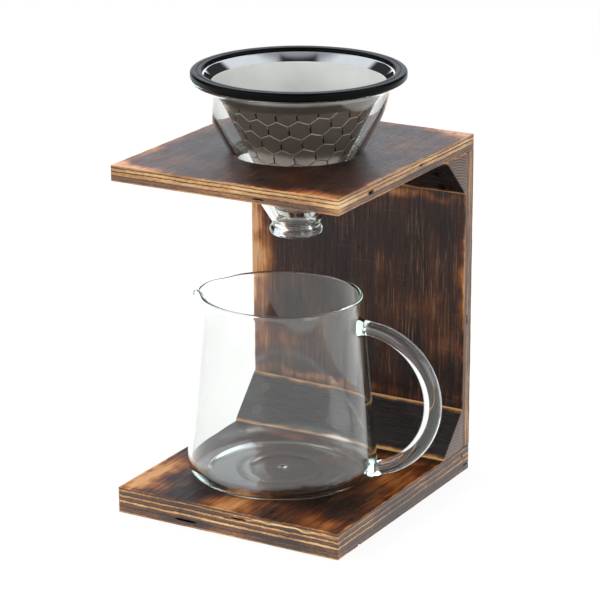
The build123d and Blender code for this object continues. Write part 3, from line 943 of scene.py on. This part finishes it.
def honeycomb_cone():
    """Outer steel cone, rolled from a sheet pressed with a honeycomb of grooves."""
    slant_low = (CONE_LOW[2] - APEX_Z) / cos(CONE_ANGLE)
    slant_high = (CONE_HIGH[2] - APEX_Z) / cos(CONE_ANGLE)
    half_sector = pi * sin(CONE_ANGLE)
    row_step = HEX_PITCH * sqrt(3) / 2
    across = np.array((cos(HEX_TURN), sin(HEX_TURN)))
    up = np.array((-sin(HEX_TURN), cos(HEX_TURN)))
    corner_r = HEX_PITCH / sqrt(3)
    plateau_r = corner_r - GROOVE_WIDTH / sqrt(3)
    mesh = bmesh.new()
    reach = ceil(slant_high / row_step) + 4
    for row in range(-2 * reach, reach):
        for column in range(-2 * reach, 2 * reach):
            shift = (column + 0.5 * (row % 2)) * HEX_PITCH
            centre = np.array(HEX_START) + across * shift + up * row * row_step
            slant = hypot(*centre)
            turn = atan2(centre[0], centre[1])
            if not slant_low - HEX_PITCH < slant < slant_high + HEX_PITCH:
                continue
            if abs(turn) > half_sector + 1.2 * HEX_PITCH / slant:
                continue
            add_hexagon(mesh, centre, across, up, plateau_r, corner_r)
    bmesh.ops.remove_doubles(mesh, verts=mesh.verts, dist=0.01)
    # Keep what lies on the sheet, and bring points just past its edges back onto them
    outside = []
    for face in mesh.faces:
        slants = [hypot(v.co.x, v.co.y) for v in face.verts]
        turns = [atan2(v.co.x, v.co.y) for v in face.verts]
        past = min(slants) >= slant_high - 0.01 or max(slants) <= slant_low + 0.01
        past = past or min(turns) >= half_sector - 1e-4 or max(turns) <= -half_sector + 1e-4
        if past or max(turns) - min(turns) > pi:
            outside.append(face)
    bmesh.ops.delete(mesh, geom=outside, context="FACES")
    for vertex in mesh.verts:
        slant = min(max(hypot(vertex.co.x, vertex.co.y), slant_low), slant_high)
        turn = min(max(atan2(vertex.co.x, vertex.co.y), -half_sector), half_sector)
        lift = vertex.co.z
        vertex.co = on_cone((slant * sin(turn), slant * cos(turn)), lift)
    bmesh.ops.dissolve_degenerate(mesh, edges=mesh.edges, dist=0.02)
    bmesh.ops.recalc_face_normals(mesh, faces=mesh.faces)
    mesh.verts.index_update()
    points = [tuple(v.co) for v in mesh.verts]
    faces = [[v.index for v in f.verts] for f in mesh.faces]
    slots = [f.material_index for f in mesh.faces]
    mesh.free()
    piece = make_piece(
        "filter_cone_honeycomb", "filter", points, faces,
        [cone_metal, painted_shade_groove_metal, painted_highlight_groove_metal], ("filter_outer_cone",), slots, 20,
    )
    face_outwards(piece)
    thick = piece.modifiers.new("sheet", "SOLIDIFY")
    thick.thickness = SHEET * MM
    thick.offset = -1.0
    apply_modifiers(piece)
    return piece


def face_outwards(piece):
    """Turns an open cone's faces away from its axis, if they look at it."""
    face = max(piece.data.polygons, key=lambda f: f.center.z)
    away = Vector((face.center.x - FILTER_X * MM, face.center.y, 0))
    if face.normal.dot(away) < 0:
        piece.data.flip_normals()


def add_hexagon(mesh, centre, across, up, plateau_r, corner_r):
    """One cell on the flat sheet: a plateau, and the near half of the grooves round it."""
    divisions = 5

    def corner(radius, n):
        turn = radians(30 + 60 * n)
        return centre + across * radius * cos(turn) + up * radius * sin(turn)

    rows = []
    for level in range(divisions + 1):
        radius = plateau_r * level / divisions
        ring = []
        for n in range(6):
            start, end = corner(radius, n), corner(radius, n + 1)
            ring += [start + (end - start) * k / max(level, 1) for k in range(max(level, 1))]
        rows.append([mesh.verts.new((*p, 0.0)) for p in (ring[:1] if level == 0 else ring)])
    for level in range(1, divisions + 1):
        inner, outer = rows[level - 1], rows[level]
        for n in range(6):
            for k in range(level):
                a, b = outer[n * level + k], outer[(n * level + k + 1) % len(outer)]
                c = inner[(n * (level - 1) + k) % len(inner)]
                mesh.faces.new((a, b, c))
                if k < level - 1:
                    d = inner[(n * (level - 1) + k + 1) % len(inner)]
                    mesh.faces.new((b, d, c))
    floor_ring = []
    for n in range(6):
        start, end = corner(corner_r, n), corner(corner_r, n + 1)
        floor_ring += [start + (end - start) * k / divisions for k in range(divisions)]
    floor = [mesh.verts.new((*p, -GROOVE_DEPTH)) for p in floor_ring]
    edge = rows[-1]
    for k in range(len(edge)):
        after = (k + 1) % len(edge)
        face = mesh.faces.new((edge[k], floor[k], floor[after], edge[after]))
        out = (edge[k].co + edge[after].co).xy / 2 - Vector(centre)
        # Groove sides at a cell's top edge, facing up the cone, take the painted highlight steel; the rest take
        # the painted shade steel
        face.material_index = 2 if out.y > 0.25 * corner_r else 1


def cone_r(z, inset=0.0):
    """Radius of the filter's cone at a height, set in square to its face."""
    return CONE_TOP_R + (z - CONE_HIGH[2]) * tan(CONE_ANGLE) - inset / cos(CONE_ANGLE)


def seam_strip():
    """Weld seam that closes the rolled sheet, down the side away from the front."""
    width, height = 2.6, 0.12
    points, faces = [], []
    rows = 40
    for n in range(rows + 1):
        z = CONE_LOW[2] + 3.2 + (CONE_HIGH[2] - CONE_LOW[2] - 5.0) * n / rows
        for side, lift in ((-1, -0.1), (-0.72, height), (0, height + 0.03), (0.72, height), (1, -0.1)):
            turn = HEX_FRONT + pi + side * width / 2 / cone_r(z)
            r = cone_r(z) + lift * (1 + 0.25 * flow((side, z, 0), 2.0, 8.0))
            points.append((FILTER_X + r * cos(turn), r * sin(turn), z - lift * tan(CONE_ANGLE)))
    for n in range(rows):
        for k in range(5):
            a, b = n * 5 + k, n * 5 + (k + 1) % 5
            faces.append([a, b, b + 5, a + 5])
    faces += [[4, 3, 2, 1, 0], [rows * 5 + k for k in range(5)]]
    piece = make_piece("filter_seam", "filter", points, faces, [cone_metal])
    flip_inside_out(piece)
    return piece


def mesh_cone():
    """Fine mesh that lines the outer cone and the lower half of the collar."""
    low, high = node_box("filter_mesh_cone")
    thin = 0.25
    top_r = high[1]
    flare = (51.6 - CONE_TOP_R) / (node_box("filter_collar")[1][2] - CONE_HIGH[2])
    outer = []
    for z in np.linspace(low[2], high[2] - 0.1, 90):
        on_sheet, on_collar = cone_r(z, SHEET + 0.04), CONE_TOP_R + (z - CONE_HIGH[2]) * flare - 0.5
        # The cloth bends gently from the cone's slope to the collar's
        bend = 0.9 * smooth((z - CONE_HIGH[2] + 14) / 10)
        half = (on_collar - on_sheet) / 2
        outer.append(((on_sheet + on_collar) / 2 + hypot(half, bend) - bend, z))
    inner = [(r - thin / cos(CONE_ANGLE), z) for r, z in outer][::-1]
    rim = [(top_r - thin / 2, high[2])]
    points, faces = lathe(outer + rim + inner, FILTER_CENTRE, 256, closed=True)
    return make_piece(
        "filter_mesh_lining", "filter", points, faces, [mesh_cloth], ("filter_mesh_cone",)
    )


def tip_cap():
    """Pressed steel cup that closes the filter's tip."""
    low, high = node_box("filter_tip_cap")
    sheet = 0.5
    top_r, foot_r = high[1], cone_r(low[2] + sheet, -sheet)
    bend = 1.0
    outline = [(0, low[2] + 0.25), (foot_r * 0.55, low[2] + 0.25), (foot_r * 0.66, low[2])]
    outline += arc((foot_r - bend, low[2] + bend), bend, -90, -CONE_ANGLE / pi * 180, 8)
    outline += [(top_r - 0.1, high[2] - 0.1), (top_r - sheet, high[2])]
    outline += [(cone_r(low[2] + sheet) + 0.05, low[2] + sheet + 0.3), (foot_r * 0.66, low[2] + sheet + 0.1)]
    outline += [(0, low[2] + sheet + 0.1)]
    points, faces = lathe(outline, FILTER_CENTRE, 128)
    return make_piece(
        "filter_tip_cup", "filter", points, faces, [mirror], ("filter_tip_cap",)
    )


silicone_ring()
filter_collar()
honeycomb_cone()
seam_strip()
mesh_cone()
tip_cap()


# --- Glass ---------------------------------------------------------------------------------------


# Green that shows only where light runs a long way inside the glass, per metre
GLASS_DEPTH = (0.62, 0.90, 0.74, 1.0)
GLASS_DENSITY = 8.0
LONGEST_WAY = 8.5


def clear_glass(name, tint, wave):
    """Clear glass, slightly uneven, that lets the light of lamps and of the room through."""
    f = Finish(name)
    swell = f.noise(0.016, (1.0, 1.0, 0.6), 0.0, 0.45)
    smudge = f.noise(0.10, detail=4.0, shift=22.0)
    rough = f.span(smudge, 0.55, 0.80, 0.0, 0.025)
    glass = f.principled(
        Base_Color=srgb(*tint), Roughness=rough, IOR=1.47, Transmission_Weight=1.0,
        Normal=f.bump(swell, wave),
    )
    passing = f.add("ShaderNodeBsdfTransparent", {"Color": srgb(246, 249, 247)}).outputs[0]
    path = f.add("ShaderNodeLightPath").outputs
    # Light that has bounced about inside for long comes straight out
    trapped = f.math("GREATER_THAN", path["Ray Depth"], LONGEST_WAY)
    share = f.math("MAXIMUM", path["Is Shadow Ray"], path["Is Diffuse Ray"])
    share = f.math("MAXIMUM", share, trapped)
    depth = f.add("ShaderNodeVolumeAbsorption", {"Color": GLASS_DEPTH, "Density": GLASS_DENSITY}).outputs[0]
    return f.done(f.add("ShaderNodeMixShader", {0: share, 1: glass, 2: passing}).outputs[0], depth)


dripper_glass = clear_glass("dripper_glass", (253, 254, 253), 0.10)
server_glass = clear_glass("server_glass", (253, 254, 253), 0.12)

NECK_R = 12.4
NECK_Z = 158.0
DRIPPER_WALL = 2.6


def glass_dripper():
    """Bellied glass cone with a fire-rounded rim and a thick bead round its outlet."""
    low, high = node_box("glass_dripper")
    rim_r, rim_z = high[0], high[2] - DRIPPER_WALL / 2
    across = DRIPPER_WALL / cos(SEAT_SLOPE)
    seat = (SEAT_R - 0.05, TOP_HIGH[2])
    outer = arc_through((NECK_R, NECK_Z), seat, (rim_r, rim_z), 70)
    inner = [(r - across, z) for r, z in outer]
    half = across / 2
    rim = arc((rim_r - half, rim_z), half, 0, 180, 14)
    rim = [(r, rim_z + (z - rim_z) * DRIPPER_WALL / across) for r, z in rim]
    bead_mid = (low[2] + NECK_Z - 2.9) / 2 + 1.45
    bead = [(11.2, low[2])] + arc((11.8, low[2] + 2.9), 2.9, -80, 60, 16)
    inside = arc((11.6, low[2] + 2.6), 2.5, 175, 262, 8)
    outline = inner[::-1] + inside + bead + outer[1:-1] + rim[:-1]
    points, faces = lathe(outline, (0, 0), 256, closed=True)
    piece = make_piece(
        "glass_dripper_clear", "dripper", points, faces, [dripper_glass], ("glass_dripper",),
        sharp=60,
    )
    flip_inside_out(piece)
    return piece


SERVER_X = -3.2
SERVER_Y = -11.1
SERVER_HEIGHT = 104.7
SERVER_FOOT_R = 54.15
SERVER_MOUTH_R = 45.1
SERVER_WALL = 2.2
SERVER_FLOOR = 2.8
SERVER_CORNER_R = 9.0
HANDLE_ANGLE = radians(8.4)
SPOUT_REACH = 53.0
SPOUT_SAG = 5.0
SPOUT_DEPTH = 28.0
SPOUT_SPREAD = 10.0
SAG_SPREAD = 6.0
MOUTH_PINCH = 0.055
HANDLE_TOP = (45.8, 90.5)
HANDLE_WIDEST = (89.0, 49.45)
HANDLE_BOTTOM = (53.3, 8.8)
ROD_ENDS_R = 3.9
ROD_MIDDLE_R = 4.9
PAD_R = 6.1


def wall_lean():
    return atan((SERVER_FOOT_R - SERVER_MOUTH_R) / SERVER_HEIGHT)


def server_wall_r(height, inset=0.0):
    """Radius of the server's straight wall at a height above its foot."""
    return SERVER_FOOT_R - height * tan(wall_lean()) - inset / cos(wall_lean())


def foot_corner(inset, floor, count):
    """Rounded corner between the foot, at height floor, and the wall, set in by inset."""
    radius = SERVER_CORNER_R - inset
    middle_z = floor + radius
    middle_r = server_wall_r(middle_z, inset + radius)
    return arc((middle_r, middle_z), radius, -90, degrees(wall_lean()), count)


def server_outline():
    """Half section of the server, from the middle of its underside round to the middle of its floor."""
    punt = [(0, 1.3), (12, 1.25), (19, 1.0), (21, 0.75), (23, 0.95), (38, 0.8), (40, 0.55), (42, 0.08), (43, 0)]
    outline = punt + foot_corner(0.0, 0.0, 16)
    rim_mid = SERVER_HEIGHT - SERVER_WALL / 2
    outline += [(server_wall_r(z), z) for z in np.linspace(12, rim_mid - 0.6, 60)]
    rim_r = server_wall_r(rim_mid, SERVER_WALL / 2)
    outline += arc((rim_r, rim_mid), SERVER_WALL / 2 + 0.12, degrees(wall_lean()), 180, 14)
    outline += [(server_wall_r(z, SERVER_WALL), z) for z in np.linspace(rim_mid - 0.8, 13, 60)]
    outline += foot_corner(SERVER_WALL, SERVER_FLOOR, 14)[::-1]
    floor = [(40, 2.8), (34, 2.72), (26, 2.78), (23, 3.0), (21, 3.02), (18, 2.75), (8, 2.7), (3.4, 2.74)]
    nub = [(2.2, 3.0), (1.5, 3.8), (0.8, 4.0), (0, 4.05)]
    return outline + floor + nub


def pull_spout(point):
    """Draws the rim out and down to the spout's tip, opposite the handle, which leaves the mouth oval."""
    x, y, z = point
    y *= 1 - MOUTH_PINCH * (z / SERVER_HEIGHT) ** 3
    radius = hypot(x, y)
    rise = (z - (SERVER_HEIGHT - SPOUT_DEPTH)) / SPOUT_DEPTH
    if rise <= 0 or radius < SERVER_MOUTH_R * 0.8:
        return x, y, z
    off = atan2(sin(atan2(y, x) - pi), cos(atan2(y, x) - pi))
    side = exp(-((off * SERVER_MOUTH_R / SPOUT_SPREAD) ** 2))
    pull = (SPOUT_REACH - SERVER_MOUTH_R) * side * smooth(rise) ** 1.3
    sag = SPOUT_SAG * exp(-((off * SERVER_MOUTH_R / SAG_SPREAD) ** 2)) * rise**3
    scale = (radius + pull) / radius
    return x * scale, y * scale, z - sag


def server():
    """Glass jug with a pressed foot and a pulled spout, and its handle fused on."""
    foot_z = node_box("server_jug")[0][2]
    cos_h, sin_h = cos(HANDLE_ANGLE), sin(HANDLE_ANGLE)

    def placed(point):
        x, y, z = point
        return SERVER_X + x * cos_h - y * sin_h, SERVER_Y + x * sin_h + y * cos_h, foot_z + z

    points, faces = lathe(server_outline(), segments=288)
    points = [placed(pull_spout(p)) for p in points]
    piece = make_piece(
        "server_glass", "server", points, faces, [server_glass],
        ("server_jug", "server_handle"), sharp=60,
    )
    flip_inside_out(piece)
    rod_points, rod_faces = handle_rod()
    combine(piece, "handle", [placed(p) for p in rod_points], rod_faces, "UNION", [server_glass], 30)
    return piece


def handle_rod():
    """Round glass rod bent to an arc, flaring into a pad at each end that sinks into the wall."""
    path = arc_through(HANDLE_TOP, HANDLE_WIDEST, HANDLE_BOTTOM, 81)
    path = np.array(path)
    steps = np.linalg.norm(np.diff(path, axis=0), axis=1)
    travelled = np.concatenate(([0], np.cumsum(steps)))
    total = travelled[-1]
    around_count = 40
    sink = 1.2
    points, faces, rows = [], [], []
    for n, (x, z) in enumerate(path):
        tangent = path[min(n + 1, len(path) - 1)] - path[max(n - 1, 0)]
        tangent /= np.linalg.norm(tangent)
        side = np.array((-tangent[1], tangent[0]))
        near = min(travelled[n], total - travelled[n])
        radius = ROD_ENDS_R + (ROD_MIDDLE_R - ROD_ENDS_R) * sin(pi * travelled[n] / total)
        radius += (PAD_R - ROD_ENDS_R) * exp(-((near / 2.6) ** 2))
        row = []
        for k in range(around_count):
            turn = 2 * pi * k / around_count
            px, pz = np.array((x, z)) + side * radius * cos(turn)
            py = radius * sin(turn)
            if n in (0, len(path) - 1):
                px = sqrt((server_wall_r(pz) - sink) ** 2 - py * py)
            row.append(len(points))
            points.append((px, py, pz))
        rows.append(row)
    for low, high in zip(rows, rows[1:]):
        for k in range(around_count):
            after = (k + 1) % around_count
            faces.append([low[k], low[after], high[after], high[k]])
    faces += [rows[0][::-1], rows[-1]]
    mesh = bpy.data.meshes.new("rod")
    mesh.from_pydata(points, [], faces)
    # The union needs the rod's faces to look outwards
    check = bmesh.new()
    check.from_mesh(mesh)
    bmesh.ops.recalc_face_normals(check, faces=check.faces)
    check.faces.ensure_lookup_table()
    faces = [[v.index for v in f.verts] for f in check.faces]
    check.free()
    return points, faces


glass_dripper()
server()


# --- Stage, light and camera ---------------------------------------------------------------------

CAMERA_TURN = radians(29.872)
CAMERA_RISE = radians(17.845)
CAMERA_ROLL = radians(-0.177)
CAMERA_TARGET = Vector((2.251, 0.0, 113.601)) * MM
CAMERA_DISTANCE = 1.52194
LENS = 164.31

FLOOR_HALF = 4.0
FLOOR_GLOW = 0.82
WHITE = (1.0, 1.0, 1.0, 1.0)


def stage_floor():
    """Plain white floor, which mostly glows, so that shadows on it stay faint."""
    mesh = bpy.data.meshes.new("floor")
    corners = [(-FLOOR_HALF, -FLOOR_HALF, 0), (FLOOR_HALF, -FLOOR_HALF, 0), (FLOOR_HALF, FLOOR_HALF, 0)]
    corners += [(-FLOOR_HALF, FLOOR_HALF, 0)]
    mesh.from_pydata(corners, [], [(0, 1, 2, 3)])
    finish = Finish("stage_floor")
    matt = finish.add("ShaderNodeBsdfDiffuse", {"Color": (0.9, 0.9, 0.9, 1)}).outputs[0]
    strength = finish.span(only_mirrored(finish), 0.0, 1.0, 1.04, BACKDROP)
    glow = finish.add("ShaderNodeEmission", {"Color": WHITE, "Strength": strength}).outputs[0]
    mesh.materials.append(
        finish.done(finish.add("ShaderNodeMixShader", {0: FLOOR_GLOW, 1: matt, 2: glow}).outputs[0])
    )
    floor = bpy.data.objects.new("stage_floor", mesh)
    bpy.context.scene.collection.objects.link(floor)


def only_mirrored(nodes):
    """1 for light that came straight off a shiny surface, and not through glass."""
    path = nodes.add("ShaderNodeLightPath").outputs
    return nodes.math("SUBTRACT", path["Is Glossy Ray"], path["Is Transmission Ray"], True)


def studio():
    """White all round to the eye; what shines sees a bright backdrop, softboxes and dark gaps."""
    world = bpy.data.worlds.new("studio")
    bpy.context.scene.world = world
    world.use_nodes = True
    n = Nodes(world.node_tree)
    direction = n.add("ShaderNodeTexCoord").outputs["Generated"]
    turned = n.add("ShaderNodeVectorRotate", {"Vector": direction, "Angle": -CAMERA_TURN}, rotation_type="Z_AXIS")
    parts = n.add("ShaderNodeSeparateXYZ", {0: turned.outputs[0]}).outputs
    turn = n.math("ABSOLUTE", n.math("ARCTAN2", parts[0], n.math("MULTIPLY", parts[1], -1.0)))
    height = n.math("ARCSINE", parts[2])
    # The backdrop is brighter than the eye's white; the gaps are the camera's side and beside the backdrop
    path = n.add("ShaderNodeLightPath").outputs
    mirrored = only_mirrored(n)
    bright = n.span(turn, radians(148), radians(156), 1.0, BACKDROP)
    bright = n.span(mirrored, 0.0, 1.0, 1.0, bright)
    ceiling = n.span(height, radians(52), radians(62), 1.0, CEILING)
    bright = n.math("MULTIPLY", bright, n.span(mirrored, 0.0, 1.0, 1.0, ceiling))
    for middle, half, low, top, soft, dark, dark_through in DARK_GAPS:
        off = n.math("ABSOLUTE", n.math("SUBTRACT", turn, radians(middle)))
        beside = n.span(off, radians(half - soft), radians(half + soft))
        above = n.span(height, radians(top - 4), radians(top + 4))
        below = n.span(height, radians(low + 4), radians(low - 4))
        keep = n.math("MAXIMUM", beside, n.math("MAXIMUM", above, below))
        left = n.span(path["Is Transmission Ray"], 0.0, 1.0, dark, dark_through)
        bright = n.math("MULTIPLY", bright, n.span(keep, 0.0, 1.0, left, 1.0))
    # Two softboxes beside the camera, below what the collar mirrors
    beside = n.math("MULTIPLY", n.span(turn, radians(16), radians(26)), n.span(turn, radians(98), radians(88)))
    low = n.math("MULTIPLY", n.span(height, radians(0), radians(6)), n.span(height, radians(35), radians(29)))
    panel = n.math("MULTIPLY", n.math("MULTIPLY", beside, low), n.math("MULTIPLY", mirrored, SOFTBOX))
    bright = n.math("ADD", bright, panel)
    grey = n.mix(1.0, bright, SHINE_TINT, "MULTIPLY")
    shine = n.add("ShaderNodeBackground", {"Color": grey, "Strength": 1.0}).outputs[0]
    fill = n.add("ShaderNodeBackground", {"Color": WHITE, "Strength": FILL}).outputs[0]
    white = n.add("ShaderNodeBackground", {"Color": WHITE, "Strength": 1.0}).outputs[0]
    lit = n.add("ShaderNodeMixShader", {0: path["Is Diffuse Ray"], 1: shine, 2: fill}).outputs[0]
    lit = n.add("ShaderNodeMixShader", {0: path["Is Camera Ray"], 1: lit, 2: white}).outputs[0]
    n.add("ShaderNodeOutputWorld", {"Surface": lit})


FILL = 0.62
BACKDROP = 1.6
CEILING = 0.4
SOFTBOX = 3.0
SHINE_TINT = (0.92, 0.975, 1.04, 1.0)
# Gaps as (degrees from the camera's side, half width, low, top, softness, brightness left, and left
# through glass)
DARK_GAPS = [(0.0, 36.0, 45.0, 63.0, 12.0, 0.07, 0.5), (129.0, 28.0, -90.0, 31.0, 6.0, 0.04, 0.95)]


def softbox(name, place, aim, width, height, power, colour=(1, 1, 1)):
    lamp = bpy.data.lights.new(name, "AREA")
    lamp.shape = "RECTANGLE"
    lamp.size, lamp.size_y = width, height
    lamp.energy = power
    lamp.color = colour
    box = bpy.data.objects.new(name, lamp)
    box.location = place
    box.rotation_mode = "QUATERNION"
    box.rotation_quaternion = (Vector(aim) - Vector(place)).to_track_quat("-Z", "Y")
    box.visible_glossy = False
    bpy.context.scene.collection.objects.link(box)


def studio_lamps():
    """A large key light from the left, a top light, and a weaker one from the right."""
    middle = ((cad_low + cad_high) / 2)[:]
    softbox("key_left", (-1.25, -0.75, 0.95), middle, 0.9, 0.9, 16.0)
    softbox("top", (0.1, 0.15, 1.5), middle, 0.9, 0.9, 10.0)
    softbox("right", (1.2, -0.5, 0.5), middle, 0.5, 0.8, 3.0)


def camera():
    """Camera at the photograph's viewing angle."""
    back = Vector(
        (sin(CAMERA_TURN) * cos(CAMERA_RISE), -cos(CAMERA_TURN) * cos(CAMERA_RISE), sin(CAMERA_RISE))
    )
    right = Vector((cos(CAMERA_TURN), sin(CAMERA_TURN), 0))
    up = back.cross(right)
    rolled_right = right * cos(CAMERA_ROLL) + up * sin(CAMERA_ROLL)
    rolled_up = up * cos(CAMERA_ROLL) - right * sin(CAMERA_ROLL)
    data = bpy.data.cameras.new("camera")
    data.lens = LENS
    data.sensor_width = 36.0
    data.clip_start, data.clip_end = 0.1, 20.0
    made = bpy.data.objects.new("camera", data)
    bpy.context.scene.collection.objects.link(made)
    made.matrix_world = Matrix.Translation(CAMERA_TARGET + back * CAMERA_DISTANCE) @ Matrix(
        (rolled_right, rolled_up, back)
    ).transposed().to_4x4()
    bpy.context.scene.camera = made


stage_floor()
studio()
studio_lamps()
camera()
scene = bpy.context.scene
scene.view_settings.view_transform = "Standard"
scene.view_settings.look = "None"
scene.cycles.max_bounces = 32
scene.cycles.transmission_bounces = 32
scene.cycles.glossy_bounces = 24
scene.cycles.transparent_max_bounces = 24
scene.cycles.caustics_reflective = False
scene.cycles.caustics_refractive = False

bpy.context.view_layer.update()
